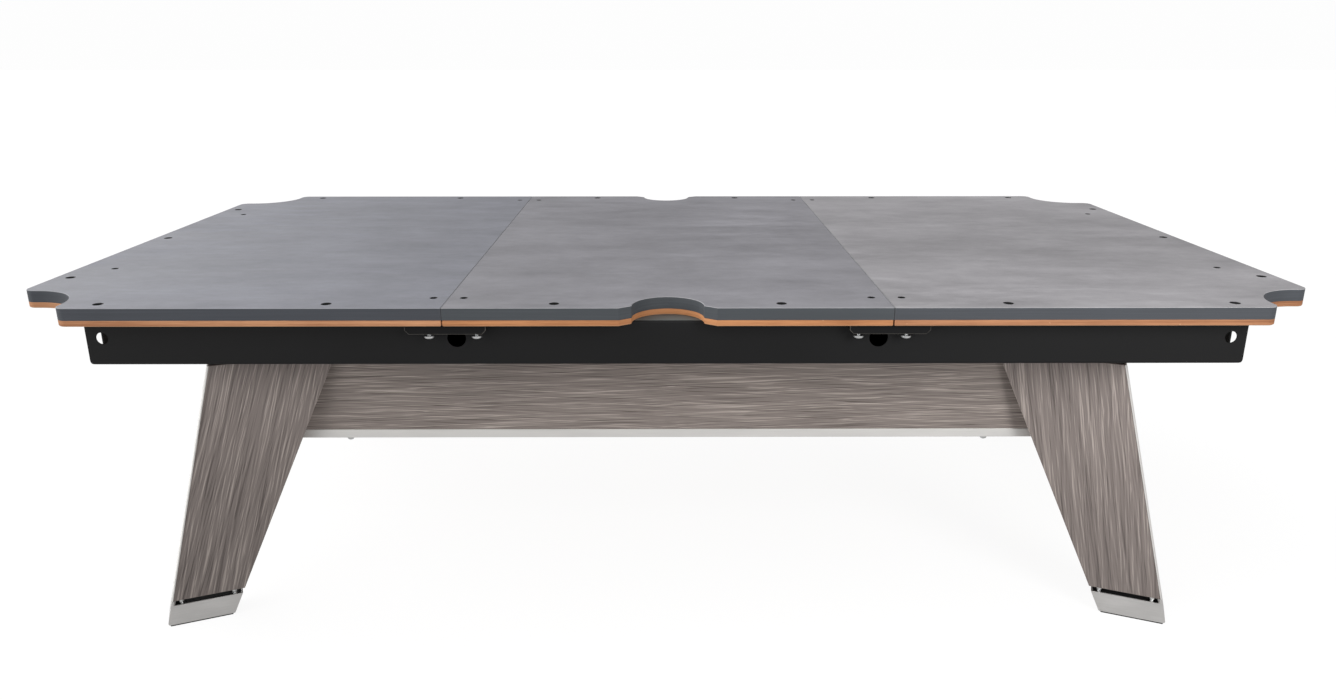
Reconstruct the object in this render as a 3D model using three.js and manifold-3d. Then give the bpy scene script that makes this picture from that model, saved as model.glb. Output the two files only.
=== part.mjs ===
// Nine-foot slate-bed pool table, built up to the bare bed: three slates with their wooden backing
// on a steel frame, carried by four splayed slab legs with levelling shoes and two beams.
// Millimetres. Origin on the floor under the table's centre, +X along the table, +Y across, +Z up.
import * as THREE from 'three';
import { mergeVertices } from 'three/addons/utils/BufferGeometryUtils.js';
import Module from 'manifold-3d';

// Bed
const BED_LENGTH = 2718;
const BED_WIDTH = 1448;
const BED_TOP = 762;
const SLATE_THICK = 25.4;
const BACKING_THICK = 12.7;
const SEAM_X = 447.9;
const SLATE_SEAM_GAP = 0.3;
const BACKING_SEAM_GAP = 3;
const CORNER_NOTCH = 146;
const CORNER_NOTCH_RADIUS = 112;
const TIP_RADIUS = 22;
const SIDE_NOTCH_RADIUS = 72.5;
const SIDE_NOTCH_CENTRE = 17;
const SIDE_NOTCH_MOUTH = 97.5;

// Holes through the bed
const RAIL_BOLT_RADIUS = 9.5;
const RAIL_BOLT_INSET = 34;
const RAIL_BOLT_PITCH = 455.4;
const END_BOLT_PITCH = 457.2;
const SCREW_RADIUS = 7;
const SCREW_INSET = 81;
const END_SCREW_INSET = 86;
const SCREW_FROM_SEAM = 31;
const END_SCREW_Y = 368;

// Steel frame of folded channels and tubes
const FRAME_FACE_Y = 681;
const FRAME_END_X = 1180;
const FRAME_BOTTOM = 631;
const FLANGE = 40;
const SHEET = 3;
const END_CHANNEL_X = 1150;
const NEST_GAP = 0.3;
const SEAM_TUBE_WIDTH = 80;
const BEARER_X = 860;
const BEARER_WIDTH = 120;
const BEARER_HEIGHT = 60;
const END_HOLE_X = 1148;
const END_HOLE_RADIUS = 12.5;
const REACH_HOLE_X = 429;
const REACH_HOLE_RADIUS = 19;
const WEB_HOLE_Z = 687.5;

// Seam brackets and their jack bolts
const BRACKET_X = 445;
const BRACKET_LENGTH = 162;
const BRACKET_DEPTH = 29.5;
const BRACKET_HEIGHT = 20;
const BRACKET_CHAMFER = 8;
const JACK_X = [384, 479.6];
const JACK_Y = 699;
const JACK_RADIUS = 5;
const JACK_HOLE_RADIUS = 5.7;
const JACK_HEAD_RADIUS = 10.75;
const JACK_NOSE_RADIUS = 6.5;
const JACK_HEAD_HEIGHT = 6;
const JACK_RIM = 2;
const JACK_SHOWN = 5;

// Legs: slabs standing in an upright plane that turns away from the table's long side
const FOOT_X = 1128;
const FOOT_Y = 659;
const LEG_TURN = THREE.MathUtils.degToRad(23);
const LEG_THICK = 70;
const LEG_BOTTOM = 61.5;
const LEG_TOP = 600;
const OUTER_SLOPE = 0.2615;
const INNER_START = 139.6;
const INNER_SLOPE = 0.4694;
const TRIM_THICK = 3;
const LEG_BLOCK_TOP = 633.9;
const LEG_BLOCK_ENDS = [4, 30];
const LEG_BLOCK_INSET = 8;

// Shoes, pads and levelling studs
const PAD_THICK = 3;
const PAD_ENDS = [6, 2.5];
const SHOE_TOP = 50.5;
const SHOE_WALL = 5;
const SHOE_WALL_TOP = 61;
const SHOE_CORNER_RADII = [7, 2.5];
const STUD_S = [35, 146];
const STUD_DEPTH = 11;
const STUD_RADIUS = 4;
const STUD_BORE_RADIUS = 5;
const SOCKET_BOTTOM = 20;
const STUD_TOP = 94;
const COLLAR_FLATS = 10;
const COLLAR_Z = [54, 60];

// Beams between the legs and the boards that tie them together
const BEAM_FACE_Y = 482;
const BEAM_THICK = 45;
const BEAM_BOTTOM = 408.5;
const TRIM_BOTTOM = 388.5;
const TRIM_PROUD = 1;
const TIE_X = 735;
const TIE_THICK = 38;
const TIE_HEIGHT = 120;

const GAP = 0.3;
const HALF_LENGTH = BED_LENGTH / 2;
const HALF_WIDTH = BED_WIDTH / 2;
const SLATE_BOTTOM = BED_TOP - SLATE_THICK;
const BACKING_BOTTOM = SLATE_BOTTOM - BACKING_THICK;

const wasm = await Module();
wasm.setup();

const slateStone = { color: 0x6f7278, roughness: 0.62, metalness: 0 };
const backingWood = { color: 0xb98457, roughness: 0.6, metalness: 0 };
const blackSteel = { color: 0x26272a, roughness: 0.5, metalness: 0.1 };
const legLaminate = { color: 0x6e6561, roughness: 0.6, metalness: 0 };
const brushedMetal = { color: 0xa6a6a4, roughness: 0.35, metalness: 0.9 };
const zincSteel = { color: 0xc4c6c8, roughness: 0.3, metalness: 0.9 };
const padRubber = { color: 0x2b2b2b, roughness: 0.9, metalness: 0 };
const tieWood = { color: 0x8f7a63, roughness: 0.7, metalness: 0 };

function part(name, geometry, finish) {
  const mesh = new THREE.Mesh(geometry, new THREE.MeshStandardMaterial(finish));
  mesh.name = name;
  return mesh;
}

// Joining and cutting of closed solids

function toManifold(geometry) {
  const bare = geometry.clone();
  bare.deleteAttribute('normal');
  bare.deleteAttribute('uv');
  const merged = mergeVertices(bare, 1e-4);
  return new wasm.Manifold(new wasm.Mesh({
    numProp: 3,
    vertProperties: new Float32Array(merged.attributes.position.array),
    triVerts: new Uint32Array(merged.index.array),
  }));
}

function fromManifold(solid) {
  const mesh = solid.getMesh();
  const geometry = new THREE.BufferGeometry();
  geometry.setAttribute('position', new THREE.BufferAttribute(mesh.vertProperties, 3));
  geometry.setIndex(new THREE.BufferAttribute(mesh.triVerts, 1));
  geometry.computeVertexNormals();
  return geometry;
}

function cut(geometry, cutters) {
  let solid = toManifold(geometry);
  for (const cutter of cutters) {
    solid = solid.subtract(toManifold(cutter));
  }
  return fromManifold(solid);
}

function join(first, second) {
  return fromManifold(toManifold(first).add(toManifold(second)));
}

// Upright cylinder or hexagonal bar from one height to another

function post(radius, x, y, z0, z1, sides = 16) {
  const geometry = new THREE.CylinderGeometry(radius, radius, z1 - z0, sides);
  geometry.rotateX(Math.PI / 2);
  geometry.translate(x, y, (z0 + z1) / 2);
  return geometry;
}

function hexagon(flats, x, y, z0, z1) {
  return post(flats / Math.sqrt(3), x, y, z0, z1, 6);
}

// Outlines pushed along one axis. Each helper says which way its outline lies.

function alongZ(shape, z0, z1) {
  const geometry = new THREE.ExtrudeGeometry(shape, { depth: z1 - z0, bevelEnabled: false, curveSegments: 8 });
  return geometry.translate(0, 0, z0);
}

// The outline's x and y become Y and Z, and it runs along X.
function alongX(shape, x0, x1) {
  const geometry = new THREE.ExtrudeGeometry(shape, { depth: x1 - x0, bevelEnabled: false });
  const turn = new THREE.Matrix4().makeBasis(
    new THREE.Vector3(0, 1, 0), new THREE.Vector3(0, 0, 1), new THREE.Vector3(1, 0, 0));
  return geometry.applyMatrix4(turn).translate(x0, 0, 0);
}

// The outline's x and y become X and Z, and it runs along Y.
function alongY(shape, y0, y1) {
  const geometry = new THREE.ExtrudeGeometry(shape, { depth: y1 - y0, bevelEnabled: false, curveSegments: 4 });
  return geometry.rotateX(Math.PI / 2).translate(0, y1, 0);
}

function polygon(points) {
  return new THREE.Shape(points.map(([x, y]) => new THREE.Vector2(x, y)));
}

function arc(cx, cy, radius, fromAngle, toAngle, steps) {
  return Array.from({ length: steps + 1 }, (_, i) => {
    const angle = fromAngle + (toAngle - fromAngle) * i / steps;
    return [cx + radius * Math.cos(angle), cy + radius * Math.sin(angle)];
  });
}

// Bed outlines. A corner notch is written in distances from the end and from the long edge.

function cornerNotch() {
  const centre = CORNER_NOTCH - CORNER_NOTCH_RADIUS;
  const tip = CORNER_NOTCH + TIP_RADIUS;
  return [
    ...arc(tip, TIP_RADIUS, TIP_RADIUS, -Math.PI / 2, -Math.PI, 4),
    ...arc(centre, centre, CORNER_NOTCH_RADIUS, 0, Math.PI / 2, 14),
    ...arc(TIP_RADIUS, tip, TIP_RADIUS, -Math.PI / 2, -Math.PI, 4),
  ];
}

function endOutline(seam) {
  const notch = cornerNotch();
  const near = notch.map(([e, f]) => [HALF_LENGTH - e, f - HALF_WIDTH]);
  const far = notch.map(([e, f]) => [HALF_LENGTH - e, HALF_WIDTH - f]).reverse();
  return polygon([[seam, -HALF_WIDTH], ...near, ...far, [seam, HALF_WIDTH]]);
}

function centreOutline(seam) {
  const bottom = arc(0, SIDE_NOTCH_CENTRE, SIDE_NOTCH_RADIUS, Math.PI, 0, 16)
    .map(([x, f]) => [x, f - HALF_WIDTH]);
  const top = bottom.map(([x, y]) => [-x, -y]);
  return polygon([
    [-seam, -HALF_WIDTH], [-SIDE_NOTCH_MOUTH, -HALF_WIDTH], ...bottom,
    [SIDE_NOTCH_MOUTH, -HALF_WIDTH], [seam, -HALF_WIDTH],
    [seam, HALF_WIDTH], [SIDE_NOTCH_MOUTH, HALF_WIDTH], ...top,
    [-SIDE_NOTCH_MOUTH, HALF_WIDTH], [-seam, HALF_WIDTH],
  ]);
}

function addHoles(shape, places, radius) {
  for (const [x, y] of places) {
    const hole = new THREE.Path();
    hole.absarc(x, y, radius, 0, 2 * Math.PI, true);
    shape.holes.push(hole);
  }
}

const boltY = HALF_WIDTH - RAIL_BOLT_INSET;
const screwY = HALF_WIDTH - SCREW_INSET;

function pierceEnd(shape) {
  const bolts = [-1, 0, 1].map((n) => [HALF_LENGTH - RAIL_BOLT_INSET, n * END_BOLT_PITCH]);
  for (const x of [1.5 * RAIL_BOLT_PITCH, 2.5 * RAIL_BOLT_PITCH]) {
    bolts.push([x, -boltY], [x, boltY]);
  }
  addHoles(shape, bolts, RAIL_BOLT_RADIUS);
  const seamScrew = SEAM_X + SCREW_FROM_SEAM;
  const endScrew = HALF_LENGTH - END_SCREW_INSET;
  addHoles(shape, [
    [seamScrew, -screwY], [seamScrew, screwY], [endScrew, -END_SCREW_Y], [endScrew, END_SCREW_Y],
  ], SCREW_RADIUS);
  return shape;
}

function pierceCentre(shape) {
  const boltX = RAIL_BOLT_PITCH / 2;
  const screwX = SEAM_X - SCREW_FROM_SEAM;
  for (const side of [-1, 1]) {
    addHoles(shape, [[side * boltX, -boltY], [side * boltX, boltY]], RAIL_BOLT_RADIUS);
    addHoles(shape, [[side * screwX, -screwY], [side * screwX, screwY]], SCREW_RADIUS);
  }
  return shape;
}

function addBedLayer(table, layer, finish, seamGap, z0, z1) {
  const end = alongZ(pierceEnd(endOutline(SEAM_X + seamGap / 2)), z0, z1);
  const centre = alongZ(pierceCentre(centreOutline(SEAM_X - seamGap / 2)), z0, z1);
  const right = part(`${layer}_right`, end, finish);
  const left = part(`${layer}_left`, end.clone(), finish);
  left.rotation.z = Math.PI;
  table.add(left, part(`${layer}_centre`, centre, finish), right);
}

// Frame

// Channel lying on its side: an upright web at x = 0 with both flanges towards +x.
function channel(z0, z1) {
  return polygon([
    [0, z0], [FLANGE, z0], [FLANGE, z0 + SHEET], [SHEET, z0 + SHEET],
    [SHEET, z1 - SHEET], [FLANGE, z1 - SHEET], [FLANGE, z1], [0, z1],
  ]);
}

function roundBarAcross(radius, x, z, y0, y1) {
  const geometry = new THREE.CylinderGeometry(radius, radius, y1 - y0, 20);
  return geometry.translate(x, (y0 + y1) / 2, z);
}

function sideRail() {
  const bar = alongX(channel(FRAME_BOTTOM, BACKING_BOTTOM), -FRAME_END_X, FRAME_END_X);
  bar.translate(0, -FRAME_FACE_Y, 0);
  const through = [-FRAME_FACE_Y - 5, -FRAME_FACE_Y + SHEET + 5];
  const holes = [-1, 1].flatMap((side) => [
    roundBarAcross(END_HOLE_RADIUS, side * END_HOLE_X, WEB_HOLE_Z, ...through),
    roundBarAcross(REACH_HOLE_RADIUS, side * REACH_HOLE_X, WEB_HOLE_Z, ...through),
  ]);
  return cut(bar, holes);
}

const nestBottom = FRAME_BOTTOM + SHEET + NEST_GAP;
const nestTop = BACKING_BOTTOM - SHEET - NEST_GAP;
const nestHalf = FRAME_FACE_Y - SHEET - NEST_GAP;

function endChannel() {
  const bar = alongY(channel(nestBottom, nestTop), -nestHalf, nestHalf);
  return bar.translate(-END_CHANNEL_X, 0, 0);
}

// Rectangular tube across the frame, centred on x, open at both ends.
function crossTube(x, width, z0, z1) {
  const section = polygon([
    [x - width / 2, z0], [x + width / 2, z0], [x + width / 2, z1], [x - width / 2, z1],
  ]);
  const inner = width / 2 - SHEET;
  section.holes.push(polygon([
    [x - inner, z0 + SHEET], [x - inner, z1 - SHEET], [x + inner, z1 - SHEET], [x + inner, z0 + SHEET],
  ]));
  return alongY(section, -nestHalf, nestHalf);
}

function addFrame(table) {
  const near = part('frame_rail_near', sideRail(), blackSteel);
  const far = part('frame_rail_far', sideRail(), blackSteel);
  far.rotation.z = Math.PI;
  const left = part('frame_end_left', endChannel(), blackSteel);
  const right = part('frame_end_right', endChannel(), blackSteel);
  right.rotation.z = Math.PI;
  table.add(near, far, left, right);
  for (const [name, side] of [['left', -1], ['right', 1]]) {
    const seam = crossTube(side * SEAM_X, SEAM_TUBE_WIDTH, nestBottom, nestTop);
    const bearer = crossTube(side * BEARER_X, BEARER_WIDTH, nestBottom, nestBottom + BEARER_HEIGHT);
    table.add(part(`seam_member_${name}`, seam, blackSteel), part(`leg_bearer_${name}`, bearer, blackSteel));
  }
}

// Seam brackets, on the near side; the far side is the same turned half a turn.

function seamBracket() {
  const z0 = BACKING_BOTTOM - BRACKET_HEIGHT;
  const half = BRACKET_LENGTH / 2;
  const front = polygon([
    [-half + BRACKET_CHAMFER, z0], [half - BRACKET_CHAMFER, z0], [half, z0 + BRACKET_CHAMFER],
    [half, BACKING_BOTTOM], [-half, BACKING_BOTTOM], [-half, z0 + BRACKET_CHAMFER],
  ]);
  const back = -FRAME_FACE_Y - GAP;
  return alongY(front, back - BRACKET_DEPTH, back);
}

function jackBolt(x) {
  const bracketBottom = BACKING_BOTTOM - BRACKET_HEIGHT;
  const headTop = bracketBottom - JACK_SHOWN;
  const shank = post(JACK_RADIUS, x, -JACK_Y, headTop - 1, BACKING_BOTTOM - GAP, 12);
  const rim = post(JACK_HEAD_RADIUS, x, -JACK_Y, headTop - JACK_RIM, headTop, 18);
  const dome = new THREE.CylinderGeometry(JACK_HEAD_RADIUS, JACK_NOSE_RADIUS, JACK_HEAD_HEIGHT - JACK_RIM, 18);
  dome.rotateX(Math.PI / 2);
  dome.translate(x, -JACK_Y, headTop - (JACK_HEAD_HEIGHT + JACK_RIM) / 2);
  return join(shank, join(rim, dome));
}

function addSeamBrackets(side, name, leftName, rightName) {
  for (const [sign, end] of [[-1, leftName], [1, rightName]]) {
    const body = seamBracket().translate(sign * BRACKET_X, 0, 0);
    const holes = JACK_X.map((x) => post(JACK_HOLE_RADIUS, sign * x, -JACK_Y, SLATE_BOTTOM - 60, SLATE_BOTTOM));
    side.add(part(`seam_bracket_${name}_${end}`, cut(body, holes), blackSteel));
    JACK_X.forEach((x, i) => {
      const place = i === 0 ? 'inner' : 'outer';
      side.add(part(`jack_bolt_${name}_${end}_${place}`, jackBolt(sign * x), zincSteel));
    });
  }
}

// Legs. Each is drawn flat in its own plane: s runs from the foot's outer corner towards the
// table's middle, z is height, and the depth behind the leg's face is y.

const outerEdge = (z) => OUTER_SLOPE * z;
const innerEdge = (z) => INNER_START + INNER_SLOPE * z;

function legSlab() {
  const cover = TRIM_THICK + GAP;
  const front = polygon([
    [outerEdge(LEG_BOTTOM) + cover, LEG_BOTTOM], [innerEdge(LEG_BOTTOM), LEG_BOTTOM],
    [innerEdge(LEG_TOP), LEG_TOP], [outerEdge(LEG_TOP) + cover, LEG_TOP],
  ]);
  const bores = STUD_S.map((s) => post(STUD_BORE_RADIUS, s, STUD_DEPTH, LEG_BOTTOM - 5, STUD_TOP + 2));
  return cut(alongY(front, 0, LEG_THICK), bores);
}

function legTrim() {
  const front = polygon([
    [outerEdge(LEG_BOTTOM), LEG_BOTTOM], [outerEdge(LEG_BOTTOM) + TRIM_THICK, LEG_BOTTOM],
    [outerEdge(LEG_TOP) + TRIM_THICK, LEG_TOP], [outerEdge(LEG_TOP), LEG_TOP],
  ]);
  return alongY(front, 0, LEG_THICK);
}

function legBlock() {
  const z0 = LEG_TOP + GAP;
  const s0 = outerEdge(LEG_TOP) + LEG_BLOCK_ENDS[0];
  const s1 = innerEdge(LEG_TOP) - LEG_BLOCK_ENDS[1];
  const front = polygon([[s0, z0], [s1, z0], [s1, LEG_BLOCK_TOP], [s0, LEG_BLOCK_TOP]]);
  return alongY(front, LEG_BLOCK_INSET, LEG_THICK - LEG_BLOCK_INSET);
}

// Cast shoe with its outer end wall raised to the wood, and a blind socket for each stud.
function shoe() {
  const z0 = PAD_THICK;
  const [outer, inner] = SHOE_CORNER_RADII;
  const s0 = outerEdge(z0);
  const s1 = innerEdge(z0);
  const front = polygon([
    ...arc(s0 + outer, z0 + outer, outer, Math.PI, 1.5 * Math.PI, 4),
    ...arc(s1 - inner, z0 + inner, inner, 1.5 * Math.PI, 2 * Math.PI, 4),
    [innerEdge(SHOE_TOP), SHOE_TOP], [outerEdge(SHOE_TOP) + SHOE_WALL, SHOE_TOP],
    [outerEdge(SHOE_WALL_TOP) + SHOE_WALL, SHOE_WALL_TOP], [outerEdge(SHOE_WALL_TOP), SHOE_WALL_TOP],
  ]);
  const sockets = STUD_S.map((s) => post(STUD_BORE_RADIUS, s, STUD_DEPTH, SOCKET_BOTTOM, SHOE_WALL_TOP + 5));
  return cut(alongY(front, 0, LEG_THICK), sockets);
}

function footPad() {
  const s0 = PAD_ENDS[0];
  const s1 = INNER_START - PAD_ENDS[1];
  const front = polygon([[s0, 0], [s1, 0], [s1, PAD_THICK - GAP], [s0, PAD_THICK - GAP]]);
  return alongY(front, 1, LEG_THICK - 1);
}

function levellingStud(s) {
  const shank = post(STUD_RADIUS, s, STUD_DEPTH, SOCKET_BOTTOM + GAP, STUD_TOP, 12);
  return join(shank, hexagon(COLLAR_FLATS, s, STUD_DEPTH, ...COLLAR_Z));
}

// A right-hand leg is the left-hand one seen in a mirror: its x is turned round, and each
// triangle's corners are taken the other way so that its faces still point out.
function mirrored(geometry) {
  const flipped = (geometry.index ? geometry.toNonIndexed() : geometry.clone()).scale(-1, 1, 1);
  const position = flipped.attributes.position;
  const corner = new THREE.Vector3();
  const other = new THREE.Vector3();
  for (let i = 0; i < position.count; i += 3) {
    corner.fromBufferAttribute(position, i + 1);
    other.fromBufferAttribute(position, i + 2);
    position.setXYZ(i + 1, other.x, other.y, other.z);
    position.setXYZ(i + 2, corner.x, corner.y, corner.z);
  }
  flipped.computeVertexNormals();
  return flipped;
}

function addLeg(side, name, hand) {
  const leg = new THREE.Group();
  leg.position.set(-hand * FOOT_X, -FOOT_Y, 0);
  leg.rotation.z = hand * LEG_TURN;
  const pieces = [
    ['leg', legSlab(), legLaminate],
    ['leg_trim', legTrim(), brushedMetal],
    ['leg_block', legBlock(), blackSteel],
    ['shoe', shoe(), brushedMetal],
    ['foot_pad', footPad(), padRubber],
    ['levelling_stud_outer', levellingStud(STUD_S[0]), zincSteel],
    ['levelling_stud_inner', levellingStud(STUD_S[1]), zincSteel],
  ];
  for (const [piece, geometry, finish] of pieces) {
    const shaped = hand > 0 ? geometry : mirrored(geometry);
    leg.add(part(`${piece}_${name}`, shaped, finish));
  }
  side.add(leg);
}

// Beams. The ends are cut to the slanting inner edges of the legs they run between.

function legInnerX(y, z) {
  const along = innerEdge(z) + GAP - (y + FOOT_Y) * Math.sin(LEG_TURN);
  return -FOOT_X + along / Math.cos(LEG_TURN);
}

function beamBetweenLegs(y0, y1, z0, z1) {
  const corners = [[y0, z0], [y1, z0], [y1, z1], [y0, z1]];
  const points = [-1, 1].flatMap((end) => corners.map(([y, z]) => [-end * legInnerX(y, z), y, z]));
  const faces = [
    0, 3, 2, 0, 2, 1, 4, 5, 6, 4, 6, 7,
    0, 1, 5, 0, 5, 4, 2, 3, 7, 2, 7, 6,
    1, 2, 6, 1, 6, 5, 3, 0, 4, 3, 4, 7,
  ];
  const geometry = new THREE.BufferGeometry();
  geometry.setAttribute('position', new THREE.Float32BufferAttribute(points.flat(), 3));
  geometry.setIndex(faces);
  geometry.computeVertexNormals();
  return geometry;
}

function addBeam(side, name) {
  const back = -BEAM_FACE_Y + BEAM_THICK;
  const beam = beamBetweenLegs(-BEAM_FACE_Y, back, BEAM_BOTTOM, LEG_BLOCK_TOP);
  const trim = beamBetweenLegs(
    -BEAM_FACE_Y - TRIM_PROUD, back + TRIM_PROUD, TRIM_BOTTOM, BEAM_BOTTOM);
  side.add(part(`beam_${name}`, beam, legLaminate), part(`beam_trim_${name}`, trim, brushedMetal));
}

function tieBoard(x) {
  const z0 = BEAM_BOTTOM + TRIM_PROUD;
  const half = BEAM_FACE_Y - BEAM_THICK - GAP;
  const end = polygon([
    [x - TIE_THICK / 2, z0], [x + TIE_THICK / 2, z0],
    [x + TIE_THICK / 2, z0 + TIE_HEIGHT], [x - TIE_THICK / 2, z0 + TIE_HEIGHT],
  ]);
  return alongY(end, -half, half);
}

// Assembly

const table = new THREE.Group();
addBedLayer(table, 'slate', slateStone, SLATE_SEAM_GAP, SLATE_BOTTOM, BED_TOP);
addBedLayer(table, 'backing', backingWood, BACKING_SEAM_GAP, BACKING_BOTTOM, SLATE_BOTTOM);
addFrame(table);
for (const [name, turn, first, second] of [['near', 0, 'left', 'right'], ['far', Math.PI, 'right', 'left']]) {
  const side = new THREE.Group();
  side.rotation.z = turn;
  addSeamBrackets(side, name, first, second);
  addLeg(side, `${name}_${first}`, 1);
  addLeg(side, `${name}_${second}`, -1);
  addBeam(side, name);
  table.add(side);
}
table.add(part('tie_board_left', tieBoard(-TIE_X), tieWood));
table.add(part('tie_board_right', tieBoard(TIE_X), tieWood));

export default table;
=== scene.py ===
"""Nine-foot slate-bed pool table, built up to the bare bed, around its CAD frame. Metres, +Z up.

The sections follow the table from the studio it stands in, through the bed, the steel frame and its
seam hardware, down to the legs, the levelling shoes and the beams.
"""

import math

import bpy
import numpy as np
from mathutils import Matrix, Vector
from mathutils.geometry import delaunay_2d_cdt, tessellate_polygon


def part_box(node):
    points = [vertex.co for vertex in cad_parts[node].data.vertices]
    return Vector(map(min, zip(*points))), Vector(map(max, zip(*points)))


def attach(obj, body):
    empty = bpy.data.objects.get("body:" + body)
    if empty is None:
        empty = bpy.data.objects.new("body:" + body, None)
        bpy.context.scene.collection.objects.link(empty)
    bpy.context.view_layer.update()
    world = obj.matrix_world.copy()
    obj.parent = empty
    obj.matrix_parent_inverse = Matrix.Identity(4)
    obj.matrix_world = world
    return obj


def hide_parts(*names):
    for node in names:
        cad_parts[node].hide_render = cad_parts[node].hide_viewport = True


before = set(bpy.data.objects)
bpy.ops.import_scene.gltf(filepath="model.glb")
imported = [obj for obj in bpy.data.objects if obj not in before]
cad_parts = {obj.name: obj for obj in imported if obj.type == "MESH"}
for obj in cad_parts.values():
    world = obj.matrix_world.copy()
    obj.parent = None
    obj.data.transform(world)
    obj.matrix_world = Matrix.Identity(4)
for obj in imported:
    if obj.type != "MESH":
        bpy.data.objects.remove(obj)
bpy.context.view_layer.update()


# Studio: a white sweep with a luminous floor. Most light comes softly from the left, and a light at
# the right of the camera picks out the near right corner. The camera stands at the middle of the long
# side, at the eye height of a player bending down.

CAMERA_PLACE = (-0.0080, -2.6201, 1.2695)
CAMERA_TILT = math.radians(72.595)
CAMERA_TURN = math.radians(-0.246)
CAMERA_LENS = 26.83
KEY_PLACE = (1.9, -3.0, 1.9)
KEY_AIM = (0.9, -0.6, 0.5)
KEY_SIZE = (1.2, 1.6)
KEY_POWER = 61
SKY_EVEN = 0.15
SKY_FULL = 0.9
SKY_SIDES = (("X", -1, 2.85), ("X", 1, 0.35), ("Y", -1, 0.05), ("Y", 1, 0.20), ("Z", 1, 0.10))
BACKDROP = 0.985
FLOOR_REACH = 40.0
FLOOR_DROP = 0.0004
FLOOR_GREY = 0.12
FLOOR_GLOW = 0.90
FLOOR_GLOW_ON_TABLE = 0.42

camera = bpy.data.objects.new("camera", bpy.data.cameras.new("camera"))
camera.data.sensor_width = 36
camera.data.lens = CAMERA_LENS
camera.location = CAMERA_PLACE
camera.rotation_euler = (CAMERA_TILT, 0, CAMERA_TURN)
bpy.context.scene.collection.objects.link(camera)
bpy.context.scene.camera = camera
bpy.context.scene.view_settings.view_transform = "Standard"

key = bpy.data.objects.new("key_light", bpy.data.lights.new("key_light", "AREA"))
key.data.shape = "RECTANGLE"
key.data.size, key.data.size_y = KEY_SIZE
key.data.energy = KEY_POWER
key.location = KEY_PLACE
key.rotation_euler = (Vector(KEY_AIM) - Vector(KEY_PLACE)).to_track_quat("-Z", "Y").to_euler()
key.visible_camera = False
bpy.context.scene.collection.objects.link(key)


def white_sweep():
    """World light: even white where the camera looks at it. As a light it has an even part, and for
    each side named a part that rises smoothly to full strength at SKY_FULL towards that end of its
    axis."""
    world = bpy.data.worlds.new("studio")
    world.use_nodes = True
    bpy.context.scene.world = world
    nodes, links = world.node_tree.nodes, world.node_tree.links
    nodes.clear()
    seen, lit = (nodes.new("ShaderNodeBackground") for _ in range(2))
    seen.inputs["Color"].default_value = (BACKDROP, BACKDROP, BACKDROP, 1)
    lit.inputs["Color"].default_value = (1, 1, 1, 1)
    direction = nodes.new("ShaderNodeTexCoord")
    axes = nodes.new("ShaderNodeSeparateXYZ")
    links.new(direction.outputs["Generated"], axes.inputs[0])
    total = nodes.new("ShaderNodeValue")
    total.outputs[0].default_value = SKY_EVEN
    for axis, end, strength in SKY_SIDES:
        rise = nodes.new("ShaderNodeMapRange")
        rise.interpolation_type = "SMOOTHSTEP"
        rise.inputs["From Max"].default_value = SKY_FULL * end
        rise.inputs["To Max"].default_value = strength
        links.new(axes.outputs[axis], rise.inputs["Value"])
        summed = nodes.new("ShaderNodeMath")
        links.new(total.outputs[0], summed.inputs[0])
        links.new(rise.outputs[0], summed.inputs[1])
        total = summed
    links.new(total.outputs[0], lit.inputs["Strength"])
    path = nodes.new("ShaderNodeLightPath")
    choice = nodes.new("ShaderNodeMixShader")
    output = nodes.new("ShaderNodeOutputWorld")
    links.new(path.outputs["Is Camera Ray"], choice.inputs[0])
    links.new(lit.outputs[0], choice.inputs[1])
    links.new(seen.outputs[0], choice.inputs[2])
    links.new(choice.outputs[0], output.inputs["Surface"])


white_sweep()


def luminous_floor():
    """Flat white floor that glows, so that the table throws only a faint shadow on it. It glows less
    on the table than it does to the camera."""
    mesh = bpy.data.meshes.new("floor")
    corners = np.array([(-1, -1), (1, -1), (1, 1), (-1, 1)]) * FLOOR_REACH
    mesh.from_pydata([(x, y, -FLOOR_DROP) for x, y in corners.tolist()], [], [(0, 1, 2, 3)])
    floor = bpy.data.objects.new("floor", mesh)
    bpy.context.scene.collection.objects.link(floor)
    paint = bpy.data.materials.new("white_floor")
    paint.use_nodes = True
    nodes, links = paint.node_tree.nodes, paint.node_tree.links
    shader = nodes["Principled BSDF"]
    shader.inputs["Base Color"].default_value = (FLOOR_GREY, FLOOR_GREY, FLOOR_GREY, 1)
    shader.inputs["Roughness"].default_value = 0.9
    shader.inputs["Specular IOR Level"].default_value = 0.0
    shader.inputs["Emission Strength"].default_value = 1.0
    path = nodes.new("ShaderNodeLightPath")
    glow = nodes.new("ShaderNodeMix")
    glow.data_type = "RGBA"
    glow.inputs[6].default_value = (FLOOR_GLOW_ON_TABLE, FLOOR_GLOW_ON_TABLE, FLOOR_GLOW_ON_TABLE, 1)
    glow.inputs[7].default_value = (FLOOR_GLOW, FLOOR_GLOW, FLOOR_GLOW, 1)
    links.new(path.outputs["Is Camera Ray"], glow.inputs[0])
    links.new(glow.outputs[2], shader.inputs["Emission Color"])
    mesh.materials.append(paint)


luminous_floor()


# Slates: three slabs of honed grey slate, an inch thick, butted end to end. The ends are notched for
# the corner pockets and the middle one for the side pockets, and all are drilled for the rail bolts
# and for the screws that hold them down. The honed top is smeared with dust. The sawn edges are
# darker, partly as painted shade of the upright faces, a painted highlight runs along the top arris, and
# the holes are painted black as shade.

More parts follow.
